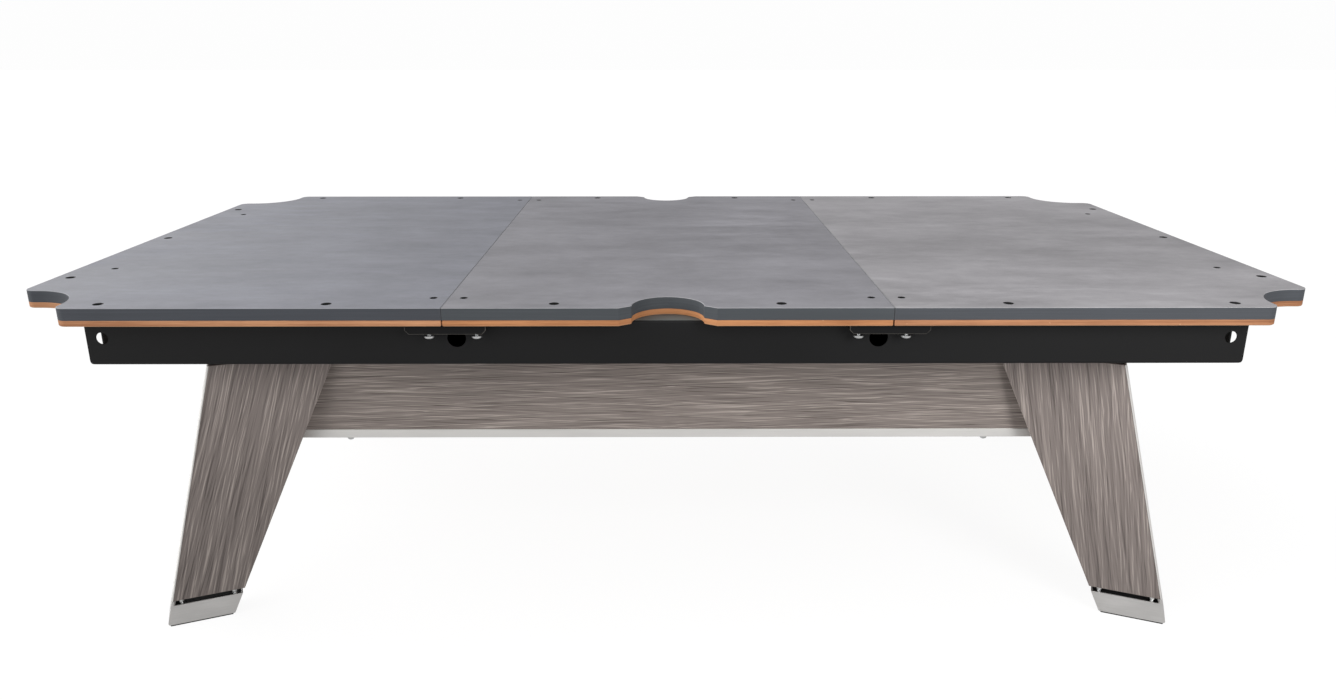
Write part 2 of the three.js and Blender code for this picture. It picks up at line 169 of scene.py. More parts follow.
HALF_LENGTH = 1.359
HALF_WIDTH = 0.724
SLATE_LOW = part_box("slate_centre")[0].z
SLATE_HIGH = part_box("slate_centre")[1].z
SEAM_X = 0.4479
SLATE_SEAM_GAP = 0.0003
SLATE_ARRIS = (0.0006, 0.0010)
NOTCH_REACH = 0.146
NOTCH_RADIUS = 0.112
TIP_RADIUS = 0.022
SIDE_NOTCH_RADIUS = 0.0725
SIDE_NOTCH_CENTRE = 0.017
SIDE_NOTCH_MOUTH = 0.0975
RAIL_BOLT_RADIUS = 0.0095
RAIL_BOLT_INSET = 0.034
RAIL_BOLT_PITCH = 0.4554
END_BOLT_PITCH = 0.4572
SCREW_RADIUS = 0.007
SCREW_INSET = 0.081
END_SCREW_INSET = 0.086
SCREW_FROM_SEAM = 0.031
END_SCREW_Y = 0.368


class Signal:
    """Output of a node that can be reckoned with: each operator adds one Math node behind it."""

    def __init__(self, finish, socket):
        self.finish = finish
        self.socket = socket

    def reckon(self, operation, *values):
        return self.finish.node("Math", dict(enumerate(values)), operation=operation)

    def __add__(self, other):
        return self.reckon("ADD", self, other)

    def __sub__(self, other):
        return self.reckon("SUBTRACT", self, other)

    def __rsub__(self, other):
        return self.reckon("SUBTRACT", other, self)

    def __mul__(self, other):
        return self.reckon("MULTIPLY", self, other)

    def __abs__(self):
        return self.reckon("ABSOLUTE", self)

    __radd__ = __add__
    __rmul__ = __mul__

    def slope(self, low, high):
        """0 up to low, 1 from high on, and a smooth slope between them."""
        sockets = {"Value": self, "From Min": low, "From Max": high}
        return self.finish.node("MapRange", sockets, interpolation_type="SMOOTHSTEP")

    def line(self, width):
        """1 where the signal is a half, falling off to 0 within the width on both sides."""
        return 1 - abs(self - 0.5).slope(0.0, width)


class Finish:
    """Procedural material. Its constants are set on the shader, and node() adds any other node."""

    def __init__(self, name, **constants):
        self.material = bpy.data.materials.new(name)
        self.material.use_nodes = True
        self.tree = self.material.node_tree
        self.shader = self.tree.nodes["Principled BSDF"]
        for socket, value in constants.items():
            self.shader.inputs[socket.replace("_", " ")].default_value = value

    def node(self, kind, sockets=None, output=0, **settings):
        """Adds a node: its settings first, then its sockets' values or links."""
        made = self.tree.nodes.new("ShaderNode" + kind)
        for setting, value in settings.items():
            setattr(made, setting, value)
        for socket, value in (sockets or {}).items():
            if isinstance(value, Signal):
                self.tree.links.new(value.socket, made.inputs[socket])
            else:
                made.inputs[socket].default_value = value
        return Signal(self, made.outputs[output])

    def axes(self, vector):
        return [self.node("SeparateXYZ", {0: vector}, output=i) for i in range(3)]

    def place(self):
        """The three Object coordinates, in metres."""
        return self.axes(self.node("TexCoord", output="Object"))

    def lay(self):
        """Distances along and across the piece's own lay, in metres."""
        return self.axes(self.node("UVMap", uv_map="Lay"))[:2]

    def noise(self, x, y, z, detail=2.0, rough=0.5):
        """Cloud noise at a point made of three signals or numbers."""
        point = self.node("CombineXYZ", {0: x, 1: y, 2: z})
        return self.node("TexNoise", {"Vector": point, "Scale": 1.0, "Detail": detail, "Roughness": rough})

    def mix(self, factor, first, second, blend="MIX"):
        """Second colour laid over the first by a factor."""
        sockets = {0: factor, 6: first, 7: second}
        return self.node("Mix", sockets, output=2, data_type="RGBA", blend_type=blend)

    def shaded(self, colour, shade):
        """Colour multiplied by a signal of brightness."""
        grey = self.node("CombineColor", {0: shade, 1: shade, 2: shade})
        return self.mix(1.0, colour, grey, "MULTIPLY")

    def feed(self, socket, signal):
        self.tree.links.new(signal.socket, self.shader.inputs[socket])

    def bump(self, height, distance, strength=1.0):
        """Small relief: the height signal times the distance, in metres."""
        sockets = {"Height": height, "Distance": distance, "Strength": strength}
        self.feed("Normal", self.node("Bump", sockets))


def rgb(red, green, blue):
    """Linear colour of an sRGB one given in 0 to 255."""
    parts = np.array([red, green, blue]) / 255
    linear = np.where(parts <= 0.04045, parts / 12.92, ((parts + 0.055) / 1.055) ** 2.4)
    return (*linear.tolist(), 1.0)


def arc(centre, radius, start, end, steps):
    """Points on a circle from one angle to another, in degrees."""
    angles = np.radians(np.linspace(start, end, steps + 1))
    return np.asarray(centre) + radius * np.stack([np.cos(angles), np.sin(angles)], 1)


def hole(x, y, radius, steps=32):
    """Clockwise circle, so that the material is on its left."""
    return arc((x, y), radius, 0, -360, steps)[:-1]


def eased(points, radius, steps=4):
    """Outline with its corners rounded: each becomes a parabola that leaves both edges alike."""
    points = np.asarray(points, float)
    before = points - np.roll(points, 1, 0)
    after = np.roll(points, -1, 0) - points
    before /= np.linalg.norm(before, axis=1, keepdims=True)
    after /= np.linalg.norm(after, axis=1, keepdims=True)
    turn = np.arccos(np.clip((before * after).sum(1), -1, 1))
    corner = turn > math.radians(15)
    reach = np.where(corner, radius * np.tan(turn / 2), 0)[:, None]
    t = np.linspace(0, 1, steps + 1)[None, :, None]
    first, last = (points - reach * before)[:, None], (points + reach * after)[:, None]
    curve = (1 - t) ** 2 * first + 2 * t * (1 - t) * points[:, None] + t**2 * last
    return curve[corner[:, None] | (np.arange(steps + 1)[None] == 0)]


def drawn_in(loop, distance):
    """Loop moved to the left of its direction, each point along the mitre of its two edges."""
    before = loop - np.roll(loop, 1, 0)
    after = np.roll(loop, -1, 0) - loop
    left_before, left_after = (
        np.stack([-e[:, 1], e[:, 0]], 1) / np.linalg.norm(e, axis=1, keepdims=True) for e in (before, after)
    )
    mitre = left_before + left_after
    return loop + distance * mitre / (mitre * left_before).sum(1, keepdims=True)


def quads_between(rings, count):
    """Quads that join each closed ring of so many points to the next one."""
    here = np.arange(count)
    onward = (here + 1) % count
    row = (np.arange(rings - 1) * count)[:, None]
    return np.stack([row + here, row + onward, row + onward + count, row + here + count], 2).reshape(-1, 4)


def wall(loop, profile):
    """Profile of (inset, height) pairs carried round a closed loop, with its quads and their lay."""
    count, rings = len(loop), len(profile)
    points = np.stack([np.column_stack([drawn_in(loop, d), np.full(count, h)]) for d, h in profile])
    travel = np.append(0, np.cumsum(np.linalg.norm(np.roll(loop, -1, 0) - loop, axis=1)))
    heights = np.array(profile)[:, 1]
    but_last, but_first = slice(-1), slice(1, None)
    low, high = (np.repeat(heights[part][:, None], count, 1) for part in (but_last, but_first))
    start, end = (np.repeat(travel[None, part], rings - 1, 0) for part in (but_last, but_first))
    lay = np.stack([np.stack(p, -1) for p in ((start, low), (end, low), (end, high), (start, high))], 2)
    return points.reshape(-1, 3), quads_between(rings, count), lay.reshape(-1, 4, 2)


def arris_profile(low, high, arris, steps):
    """From one face to the other: a quarter round, the straight wall and another quarter round."""
    turn = np.linspace(0, math.pi / 2, steps + 1)
    ends = [(r * (1 - np.sin(turn)), r * (1 - np.cos(turn))) for r in arris]
    lower = np.stack([ends[0][0], low + ends[0][1]], 1)
    upper = np.stack([ends[1][0], high - ends[1][1]], 1)[::-1]
    return np.concatenate([lower, upper])


HIDDEN_LAY = 100.0


def plate(outline, holes, low, high, arris, grain=0.0, steps=3):
    """Flat plate as (points, [(faces, lay), ...]): the wall of its outline and of each hole, and its two
    faces, which fill the rings that end the walls. Its lay is turned so that it runs along the grain.
    The lay of a hole's wall starts at HIDDEN_LAY, so that a finish can tell it from the rest."""
    profile = arris_profile(low, high, arris, steps)
    points, patches, lower, upper, start = [], [], [], [], 0
    for number, loop in enumerate([np.asarray(outline, float), *holes]):
        loop_points, quads, lay = wall(loop, profile)
        points.append(loop_points)
        patches.append((quads + start, lay + (HIDDEN_LAY * (number > 0), 0)))
        lower.append(start + np.arange(len(loop)))
        upper.append(start + len(loop_points) - len(loop) + np.arange(len(loop)))
        start += len(loop_points)
    points = np.concatenate(points)
    filled = np.array(tessellate_polygon([[Vector(p) for p in points[ring]] for ring in upper]))
    turn = np.array([[math.cos(grain), -math.sin(grain)], [math.sin(grain), math.cos(grain)]])
    for rings, facing in ((upper, 1), (lower, -1)):
        faces = np.concatenate(rings)[filled]
        a, b, c = (points[faces[:, k], :2] for k in range(3))
        area = np.cross(b - a, c - a) * facing
        faces[area < 0] = faces[area < 0][:, ::-1]
        patches.append((faces, points[faces][:, :, :2] @ turn))
    return points, patches


def stood(shape, origin, along, up, out):
    """Shape moved so that its three axes lie along the given directions. A mirrored one keeps its
    faces outwards by taking their corners the other way."""
    points, patches = shape
    axes = np.array([along, up, out], float)
    if np.linalg.det(axes) < 0:
        patches = [(faces[:, ::-1], lay[:, ::-1]) for faces, lay in patches]
    return points @ axes + np.asarray(origin, float), patches


def half_turned(shape):
    """Shape turned half round the table's upright middle axis."""
    return stood(shape, (0, 0, 0), (-1, 0, 0), (0, -1, 0), (0, 0, 1))


def make(name, shape, finish, body, slot, *nodes):
    """Mesh object of a worked-out shape, which rides on a body and stands for the CAD nodes named."""
    points, patches = shape
    mesh = bpy.data.meshes.new(name)
    mesh.from_pydata(points.tolist(), [], [face for faces, _ in patches for face in faces.tolist()])
    layer = mesh.uv_layers.new(name="Lay")
    layer.data.foreach_set("uv", np.concatenate([lay.reshape(-1) for _, lay in patches]).astype(np.float32))
    mesh.materials.append(finish.material)
    mesh.shade_smooth()
    mesh.set_sharp_from_angle(angle=math.radians(40))
    piece = bpy.data.objects.new(name, mesh)
    bpy.context.scene.collection.objects.link(piece)
    even = piece.modifiers.new("even_normals", "WEIGHTED_NORMAL")
    even.keep_sharp = True
    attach(piece, body)
    if nodes:
        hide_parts(*nodes)


def corner_notch():
    """Corner pocket's cut, as distances from the bed's end and from its long edge: a rounded tip, the
    hollow quarter circle and the other rounded tip."""
    centre = NOTCH_REACH - NOTCH_RADIUS
    tip = NOTCH_REACH + TIP_RADIUS
    return np.concatenate([
        arc((tip, TIP_RADIUS), TIP_RADIUS, -90, -180, 12),
        arc((centre, centre), NOTCH_RADIUS, 0, 90, 40),
        arc((TIP_RADIUS, tip), TIP_RADIUS, -90, -180, 12),
    ])


def end_outline(seam):
    """Right-hand end of the bed: the seam's edge, then each long edge with its corner notch."""
    near = corner_notch() * (-1, 1) + (HALF_LENGTH, -HALF_WIDTH)
    far = near[::-1] * (1, -1)
    return np.concatenate([[(seam, -HALF_WIDTH)], near, far, [(seam, HALF_WIDTH)]])


def centre_outline(seam):
    """Middle of the bed, with a round side notch between two chamfers in both long edges."""
    notch = arc((0, SIDE_NOTCH_CENTRE), SIDE_NOTCH_RADIUS, 180, 0, 40)
    mouth = [(SIDE_NOTCH_MOUTH, 0), (seam, 0)]
    edge = np.concatenate([[(-seam, 0), (-SIDE_NOTCH_MOUTH, 0)], notch, mouth]) + (0, -HALF_WIDTH)
    return np.concatenate([edge, -edge])


def end_holes():
    """Rail-bolt and screw holes of the right-hand end."""
    bolt_y, screw_y = HALF_WIDTH - RAIL_BOLT_INSET, HALF_WIDTH - SCREW_INSET
    bolts = [(HALF_LENGTH - RAIL_BOLT_INSET, n * END_BOLT_PITCH) for n in (-1, 0, 1)]
    bolts += [(n * RAIL_BOLT_PITCH, side * bolt_y) for n in (1.5, 2.5) for side in (-1, 1)]
    screws = [(SEAM_X + SCREW_FROM_SEAM, side * screw_y) for side in (-1, 1)]
    screws += [(HALF_LENGTH - END_SCREW_INSET, side * END_SCREW_Y) for side in (-1, 1)]
    return [hole(*p, RAIL_BOLT_RADIUS) for p in bolts] + [hole(*p, SCREW_RADIUS) for p in screws]


def centre_holes():
    """Rail-bolt and screw holes of the middle piece."""
    quarters = np.array([(-1, -1), (-1, 1), (1, -1), (1, 1)])
    bolts = quarters * (RAIL_BOLT_PITCH / 2, HALF_WIDTH - RAIL_BOLT_INSET)
    screws = quarters * (SEAM_X - SCREW_FROM_SEAM, HALF_WIDTH - SCREW_INSET)
    return [hole(*p, RAIL_BOLT_RADIUS) for p in bolts] + [hole(*p, SCREW_RADIUS) for p in screws]


def bed_layer(seam_gap, low, high, arris):
    """Left, middle and right plates of one layer of the bed."""
    right = plate(eased(end_outline(SEAM_X + seam_gap / 2), 0.001), end_holes(), low, high, arris)
    middle = eased(centre_outline(SEAM_X - seam_gap / 2), 0.0015)
    return half_turned(right), plate(middle, centre_holes(), low, high, arris), right


def honed_slate(name, seed, top, edge):
    """Slate: clouds, wiping streaks, rubs and pale dust smears on the top, chalky in places along the rim,
    and a painted highlight as a pale line along the top arris. Sawn lines on the edges, which are darker
    partly as painted shade, a darker seam, and painted black shade inside the holes. The left piece turns
    a little paler towards the table's end."""
    slate = Finish(name, Specular_IOR_Level=0.35)
    x, y, z = slate.place()
    along = slate.lay()[0]
    clouds = slate.noise(x * 1.9, y * 2.7, seed, detail=5, rough=0.6) - 0.5
    wipes = slate.noise(x * 3.4, y * 11, seed + 3, detail=4, rough=0.6) - 0.5
    smudges = slate.noise(x * 7, y * 13, seed + 11, detail=4, rough=0.6) - 0.5
    mottle = slate.noise(x * 34, y * 52, seed + 13, detail=4, rough=0.7) - 0.5
    grit = slate.noise(x * 260, y * 260, z * 260) - 0.5
    dusty = slate.noise(x * 2.1, y * 3.2, seed + 7).slope(0.47, 0.64)
    smear = slate.noise(x * 4.5, y * 17, seed + 5, detail=5, rough=0.62).slope(0.48, 0.66) * dusty
    rubbed_where = slate.noise(x * 6, y * 6, seed + 17).slope(0.48, 0.62)
    rubs = slate.noise(x * 5, y * 70, seed + 15, detail=3).slope(0.60, 0.74) * rubbed_where
    chalky_where = slate.noise(x * 3, y * 9, seed + 9).slope(0.4, 0.6)
    rim = abs(y).slope(HALF_WIDTH - 0.075, HALF_WIDTH - 0.004) * chalky_where
    # The left piece grows paler towards the table's end.
    paler_towards_end = (0 - x).slope(0.5, 1.3)
    shade = 0.94 + paler_towards_end * 0.06 + clouds * 0.80 + wipes * 0.40 + smudges * 0.42
    shade = shade + mottle * 0.30 + grit * 0.10 + smear * 0.20 + rubs * 0.16 + rim * 0.10
    edge_streaks = slate.noise(x * 3, y * 3, z * 300) - 0.5
    edge_clouds = slate.noise(x * 4, y * 4, seed) - 0.5
    sawn = 1 + edge_streaks * 0.42 + edge_clouds * 0.30
    # The upright edges take the darker edge colour, which is partly painted shade; the top takes the honed
    # colour.
    honed = z.slope(SLATE_HIGH - 0.0013, SLATE_HIGH - 0.0006)
    colour = slate.mix(honed, slate.shaded(edge, sawn), slate.shaded(top, shade))
    # Painted highlight: a pale line along the rounded top arris, where the edge catches the light.
    arris = honed * (1 - z.slope(SLATE_HIGH - 0.0003, SLATE_HIGH - 0.00005))
    colour = slate.mix(arris * 0.5, colour, rgb(180, 180, 181))
    seam = 1 - abs(abs(x) - SEAM_X).slope(0.0008, 0.0028)
    colour = slate.mix(seam * 0.35, colour, rgb(74, 74, 76))
    # Painted shade: the walls of the holes are painted near black, as the shade deep inside them.
    painted_hole_shade = along.slope(HIDDEN_LAY / 2, HIDDEN_LAY / 2 + 1)
    slate.feed("Base Color", slate.mix(painted_hole_shade, colour, rgb(12, 12, 13)))
    slate.feed("Roughness", 0.55 + clouds * 0.2 + smear * 0.12 + (1 - honed) * 0.05)
    slate.bump(grit * 0.5 + wipes * 0.2 + (1 - honed) * edge_streaks * 1.5, 0.0003, 0.5)
    return slate


slate_plates = bed_layer(SLATE_SEAM_GAP, SLATE_LOW, SLATE_HIGH, SLATE_ARRIS)
# Each look is a seed, the top's colour and the edges' colour, whose darkness is partly painted shade.
slate_looks = {
    "left": (1.7, rgb(118, 119, 127), rgb(63, 66, 72)),
    "centre": (14.2, rgb(126, 125, 130), rgb(65, 69, 73)),
    "right": (29.5, rgb(140, 138, 141), rgb(66, 69, 74)),
}
for shape, (end, (seed, top, edge)) in zip(slate_plates, slate_looks.items()):
    stone = honed_slate(f"honed_slate_{end}", seed, top, edge)
    make(f"honed_slate_{end}", shape, stone, "table", "slate", f"slate_{end}")


# Backings: half-inch boards of light brown wood, glued under each slate with the same outline and the
# same holes, with their lower edges eased. The ends of the fibres make short lines along the edge.

BACKING_SEAM_GAP = 0.003
BACKING_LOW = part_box("backing_centre")[0].z
BACKING_ARRIS = (0.0028, 0.0006)


def backing_wood(name, dark, light):
    """Light brown board: long fibre bands on its edge, a pale lower rim and a few knocks."""
    wood = Finish(name, Specular_IOR_Level=0.3)
    x, y, z = wood.place()
    bands = wood.noise(x * 2.4, y * 2.4, z * 240, detail=3) - 0.5
    fibres = wood.noise(x * 34, y * 34, z * 700) - 0.5
    patches = wood.noise(x * 5, y * 5, 3.0, detail=3) - 0.5
    tone = 0.5 + bands * 1.6 + fibres * 0.8 + patches * 1.6
    colour = wood.mix(tone, dark, light)
    eased_rim = 1 - z.slope(BACKING_LOW + 0.0008, BACKING_LOW + 0.0030)
    colour = wood.mix(eased_rim * 0.35, colour, rgb(206, 172, 140))
    knocks = wood.noise(x * 90, y * 90, z * 120).slope(0.72, 0.78)
    wood.feed("Base Color", wood.mix(knocks * 0.5, colour, rgb(226, 186, 146)))
    wood.feed("Roughness", 0.60 + bands * 0.3)
    wood.bump(fibres + bands, 0.0003, 0.5)
    return wood


backing_plates = bed_layer(BACKING_SEAM_GAP, BACKING_LOW, SLATE_LOW, BACKING_ARRIS)
backing_looks = {
    "left": (rgb(160, 108, 74), rgb(204, 150, 110)),
    "centre": (rgb(146, 94, 58), rgb(194, 135, 90)),
    "right": (rgb(138, 91, 60), rgb(184, 130, 93)),
}
for shape, (end, (dark, light)) in zip(backing_plates, backing_looks.items()):
    wood = backing_wood(f"backing_wood_{end}", dark, light)
    make(f"backing_board_{end}", shape, wood, "table", "backing_wood", f"backing_{end}")


# Side rails and end channels: 3 mm steel sheet folded into channels that lie on their sides and nest
# into each other, painted matt black. The side rails are pierced for a spanner at each seam and for a
# bolt at each end.

SHEET = 0.003
FLANGE = 0.040
FOLD_RADIUS = 0.005
RAIL_CORNER_RADIUS = 0.008
WEB_HOLE_Z = 0.6875
REACH_HOLE = (0.429, 0.019)
END_HOLE = (1.148, 0.0125)


def black_paint(name, gloss, dark, light, painted_light_top_z=None, painted_glint_y=None):
    """Black paint over steel, with a faint orange peel. The top faces at the height given may be painted
    grey as light falling on them, and a painted highlight may lie along the front arris just behind the
    face, at the distance given from the table's middle."""
    paint = Finish(name, Specular_IOR_Level=gloss)
    x, y, z = paint.place()
    peel = paint.noise(x * 420, y * 420, z * 420, detail=1)
    clouds = paint.noise(x * 3, y * 5, z * 9, detail=4)
    colour = paint.mix(clouds, dark, light)
    if painted_light_top_z is not None:
        # Painted light: the top faces at this height are painted grey, as if lit from above.
        colour = paint.mix(z.slope(painted_light_top_z - 0.0006, painted_light_top_z - 0.0001), colour, rgb(96, 98, 96))
    # Painted highlight: a pale grey line along the front arris, as light caught on the rounded edge.
    if painted_glint_y is not None:
        out = abs(y)
        painted_glint = out.slope(painted_glint_y - 0.0016, painted_glint_y - 0.0012) * (1 - out.slope(painted_glint_y - 0.0003, painted_glint_y))
        colour = paint.mix(painted_glint * 0.8, colour, rgb(120, 116, 110))
    paint.feed("Base Color", colour)
    paint.feed("Roughness", 0.62 - gloss * 0.6 + clouds * 0.2)
    paint.bump(peel, 0.0002, 0.35)
    return paint


rail_low, rail_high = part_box("frame_rail_near")
# The rails' top flanges are painted grey as light falling on them.
steel_black = black_paint("black_paint", 0.27, rgb(6, 6, 7), rgb(14, 14, 15), painted_light_top_z=rail_high.z)


def folded_channel(half_length, height, corner, holes):
    """Channel folded from a flat sheet. The sheet is drawn flat, with its fold lines and its holes, and
    filled with triangles. A point's distance t across the sheet then gives its place on the section:
    straight flange, quarter round, web, quarter round, straight flange. Both faces lie half a sheet to
    either side of that middle surface, and the free edges are closed between them."""
    radius = FOLD_RADIUS - SHEET / 2
    bend = radius * math.pi / 2
    flat, web = FLANGE - FOLD_RADIUS, height - 2 * FOLD_RADIUS
    first, second = flat, flat + bend + web
    folds = np.concatenate([first + np.linspace(0, bend, 7), second + np.linspace(0, bend, 7)])
    rounding = np.linspace(-corner, 0, 7) + first + bend + corner / 2 if corner else []
    sides = np.unique(np.round(np.concatenate([[0, second + bend + flat], folds, rounding]), 7))
    cut = np.clip((first + bend + corner / 2 - sides) / corner, 0, 1) if corner else sides * 0
    half = half_length - corner * (1 - np.sqrt(1 - cut**2))
    count = len(sides)
    outline = np.concatenate([np.stack([half, sides], 1), np.stack([-half, sides], 1)])
    fold_edges = [(i, i + count) for i in range(count)]
    side_edges = [(i, i + 1) for i in range(2 * count - 1) if i != count - 1]
    loops = [hole(x, first + bend + z - FOLD_RADIUS, r, 40) for x, z, r in holes]
    points, edges = [outline], fold_edges + side_edges
    start = 2 * count
    for loop in loops:
        edges += [(start + i, start + (i + 1) % len(loop)) for i in range(len(loop))]
        points.append(loop)
        start += len(loop)
    drawn = delaunay_2d_cdt([Vector(p) for p in np.concatenate(points)], edges, [], 1, 1e-7)
    flat_points, faces = np.array(drawn[0]), np.array(drawn[2])
    middle = flat_points[faces].mean(1)
    for x, z, r in holes:
        clear = np.hypot(middle[:, 0] - x, middle[:, 1] - (first + bend + z - FOLD_RADIUS)) > r
        faces, middle = faces[clear], middle[clear]
    a, b, c = (flat_points[faces[:, k]] for k in range(3))
    backward = np.cross(b - a, c - a) < 0
    faces[backward] = faces[backward][:, ::-1]
    x, t = flat_points.T
    turn_in = np.clip((t - first) / bend, 0, 1) * math.pi / 2
    turn_out = np.clip((t - second) / bend, 0, 1) * math.pi / 2
    depth = FLANGE - np.clip(t, 0, flat) - radius * np.sin(turn_in)
    depth += radius * (1 - np.cos(turn_out)) + np.clip(t - second - bend, 0, flat)
    rise = SHEET / 2 + radius * (1 - np.cos(turn_in)) + np.clip(t - first - bend, 0, web)
    rise += radius * np.sin(turn_out)
    heading = turn_in + turn_out
    normal = np.stack([x * 0, -np.sin(heading), -np.cos(heading)], 1)
    surface = np.stack([x, depth, rise], 1)
    total = len(surface)
    points = np.concatenate([surface + normal * SHEET / 2, surface - normal * SHEET / 2])
    around = np.concatenate([faces[:, [0, 1]], faces[:, [1, 2]], faces[:, [2, 0]]])
    free = around[~np.isin(around @ (total, 1), around[:, ::-1] @ (total, 1))]
    rims = np.stack([free[:, 1], free[:, 0], free[:, 0] + total, free[:, 1] + total], 1)
    twice = np.concatenate([flat_points, flat_points])
    return points, [(f, twice[f]) for f in (faces, (faces + total)[:, ::-1], rims)]


rail_holes = [(side * x, WEB_HOLE_Z - rail_low.z, r) for side in (-1, 1) for x, r in (REACH_HOLE, END_HOLE)]
side_rail = folded_channel(rail_high.x, rail_high.z - rail_low.z, RAIL_CORNER_RADIUS, rail_holes)
near_rail = stood(side_rail, (0, rail_low.y, rail_low.z), (1, 0, 0), (0, 1, 0), (0, 0, 1))
make("side_rail_near", near_rail, steel_black, "table", "black_steel", "frame_rail_near")
make("side_rail_far", half_turned(near_rail), steel_black, "table", "black_steel", "frame_rail_far")

channel_low, channel_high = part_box("frame_end_left")
end_channel = folded_channel(channel_high.y, channel_high.z - channel_low.z, 0, [])
left_channel = stood(end_channel, (channel_low.x, 0, channel_low.z), (0, -1, 0), (1, 0, 0), (0, 0, 1))
make("end_channel_left", left_channel, steel_black, "table", "black_steel", "frame_end_left")
make("end_channel_right", half_turned(left_channel), steel_black, "table", "black_steel", "frame_end_right")


# Cross tubes: rectangular steel tube, welded across the frame. Two lie under the slates' seams, and
# two wider ones take the heads of the legs.

TUBE_CORNER_RADIUS = 0.006
TUBE_ARRIS = (0.0004, 0.0004)


def cross_tube(node):
    """Tube along Y that fills the node's box: a rounded rectangle with a smaller one left out."""
    low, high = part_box(node)
    half_x, half_z = (high.x - low.x) / 2, (high.z - low.z) / 2
    corners = np.array([(-1, -1), (1, -1), (1, 1), (-1, 1)])
    outer = eased(corners * (half_x, half_z), TUBE_CORNER_RADIUS, 6)
    inner = eased(corners * (half_x - SHEET, half_z - SHEET), TUBE_CORNER_RADIUS - SHEET, 6)[::-1]
    tube = plate(outer, [inner], low.y, high.y, TUBE_ARRIS, steps=1)
    return stood(tube, ((low.x + high.x) / 2, 0, (low.z + high.z) / 2), (1, 0, 0), (0, 0, 1), (0, 1, 0))


for end in ("left", "right"):
    make(f"seam_tube_{end}", cross_tube(f"seam_member_{end}"), steel_black, "table", "black_steel",
         f"seam_member_{end}")
    make(f"leg_tube_{end}", cross_tube(f"leg_bearer_{end}"), steel_black, "table", "black_steel",
         f"leg_bearer_{end}")


# Seam brackets: short black steel bars on the face of each side rail, under both ends of every seam.
# Each is threaded for the two jack bolts that level the slates there.

BRACKET_CHAMFER = 0.008
BRACKET_ARRIS = (0.0012, 0.0012)
BRACKET_CORNER_RADIUS = 0.0015

bar_face = -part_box("seam_bracket_near_left")[0].y
# The bars carry a painted highlight along their front arris.
bar_black = black_paint("bar_paint", 0.22, rgb(4, 4, 5), rgb(9, 9, 10), painted_glint_y=bar_face)
sides = ("near", "far")
for side in sides:
    for end in ("left", "right"):
        low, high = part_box(f"seam_bracket_{side}_{end}")
        half, tall = (high.x - low.x) / 2, high.z - low.z
        front = [
            (-half + BRACKET_CHAMFER, 0), (half - BRACKET_CHAMFER, 0), (half, BRACKET_CHAMFER),
            (half, tall), (-half, tall), (-half, BRACKET_CHAMFER),
        ]
        bar = plate(eased(front, BRACKET_CORNER_RADIUS), [], 0, high.y - low.y, BRACKET_ARRIS)
        bar = stood(bar, ((low.x + high.x) / 2, low.y, low.z), (1, 0, 0), (0, 0, 1), (0, 1, 0))
        make(f"jack_bar_{side}_{end}", bar, bar_black, "table", "black_steel",
             f"seam_bracket_{side}_{end}")


# Jack bolts: zinc-plated M10 button-headed bolts with a hexagon socket, screwed up through the seam
# brackets with 5 mm of thread still showing. Each is one surface of rings round its own upright axis.

BOLT_SIDES = 36
THREAD_ROWS = 6
JACK_HEAD_RADIUS = 0.0107
JACK_NOSE_RADIUS = 0.0058
JACK_DOME = 0.0040
JACK_HEAD_EDGE = 0.0058
JACK_SOCKET = (0.0060, 0.0030)
JACK_SHOWN = 0.005
JACK_TIP = (0.0010, 0.0014)
JACK_THREAD = (0.0050, 0.0015)


def zinc_plate():
    """Bright zinc over rolled steel, slightly clouded."""
    zinc = Finish("zinc_plate", Metallic=1.0)
    x, y, z = zinc.place()
    bloom = zinc.noise(x * 160, y * 160, z * 160, detail=3)
    zinc.feed("Base Color", zinc.mix(bloom, rgb(196, 198, 200), rgb(232, 232, 230)))
    zinc.feed("Roughness", 0.24 + bloom * 0.22)
    return zinc


zinc = zinc_plate()
bolt_angles = np.arange(BOLT_SIDES) * 2 * math.pi / BOLT_SIDES


def six_sided(flats):
    """Radius of a hexagon at each angle, given its width across flats."""
    return flats / 2 / np.cos((bolt_angles % (math.pi / 3)) - math.pi / 6)


def hex_rows(flats, low, high):
    """Hexagonal head: flat face, corners turned off by a 30 degree cone, flats, and the same above."""
    inner, outer = 0.46 * flats, 0.578 * flats
    cone = np.linspace(inner, outer, 5)
    rise = (cone - inner) * math.tan(math.radians(30))
    below = [(low + h, np.minimum(six_sided(flats), r)) for r, h in zip(cone, rise)]
    above = [(high - h, np.minimum(six_sided(flats), r)) for r, h in zip(cone, rise)]
    return below + above[::-1]


def button_rows(low, nose, widest, rise, socket):
    """Button head looking down: a hexagon socket of given flats and depth, a flat nose, and a quarter
    of an ellipse from the nose's radius out to the widest one over the given rise."""
    flats, depth = socket
    swell = np.linspace(0, 1, 7) * math.pi / 2
    dome = [(low + rise * (1 - math.cos(a)), nose + (widest - nose) * math.sin(a)) for a in swell]
    return [(low + depth, six_sided(flats)), (low, six_sided(flats)), *dome]


def thread_rows(radius, pitch, low, high):
    """Screw thread: its radius is a triangle wave of the height less the turn about the axis."""
    heights = np.linspace(low, high, max(2, int((high - low) / pitch * THREAD_ROWS)))
    wave = (heights[:, None] / pitch - bolt_angles[None] / (2 * math.pi)) % 1
    crest = np.clip(np.abs(wave - 0.5) * 2.6 - 0.15, 0, 1)
    return list(zip(heights, radius - crest * pitch * 0.55))


